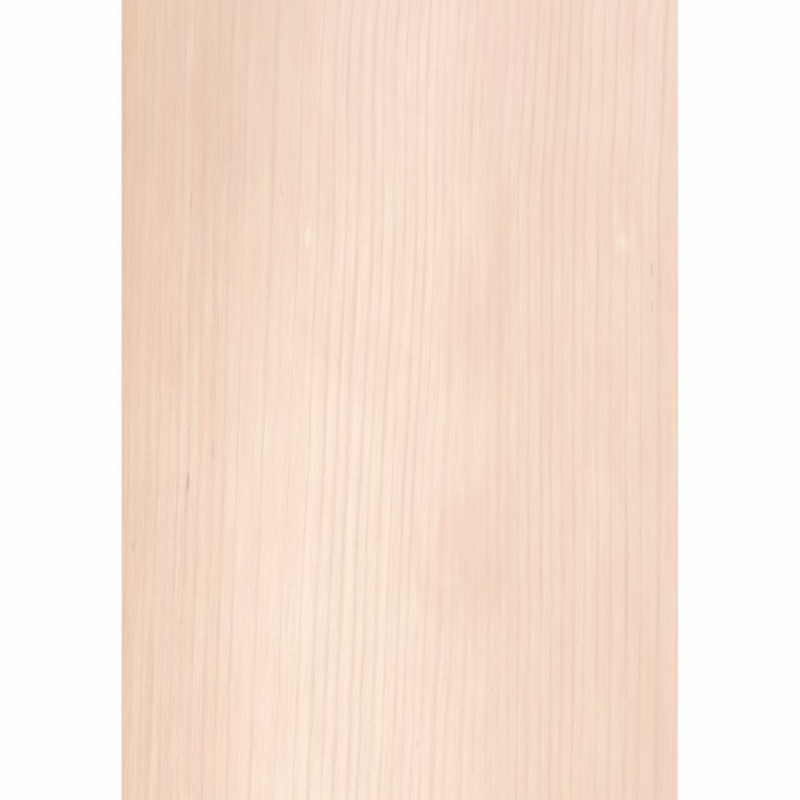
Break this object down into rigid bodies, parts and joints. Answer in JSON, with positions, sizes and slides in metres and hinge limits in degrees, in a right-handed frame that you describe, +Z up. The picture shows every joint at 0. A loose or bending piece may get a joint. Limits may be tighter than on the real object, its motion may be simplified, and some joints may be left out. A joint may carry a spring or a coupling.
{
  "type": "paper-backed wood veneer sheet",
  "caption": "Thin rectangular sheet of pale straight-grained wood veneer bonded to a paper backer, for gluing over a flat panel.",
  "frame": {"origin": "centre of the paper's underside, on the surface that the sheet lies on", "axes": "+X across the grain, +Y along the grain and the sheet's length, +Z up through the show face"},
  "size_m": [0.3048, 0.6096, 0.0007],
  "materials": {
    "maple_face": "raw, fine-sanded, unfinished maple with straight grain along +Y",
    "backer_paper": "matt, unbleached, calendered paper"
  },
  "bodies": {
    "root": {"wood_veneer": "maple_face", "paper_backer": "backer_paper"}
  },
  "joints": []
}
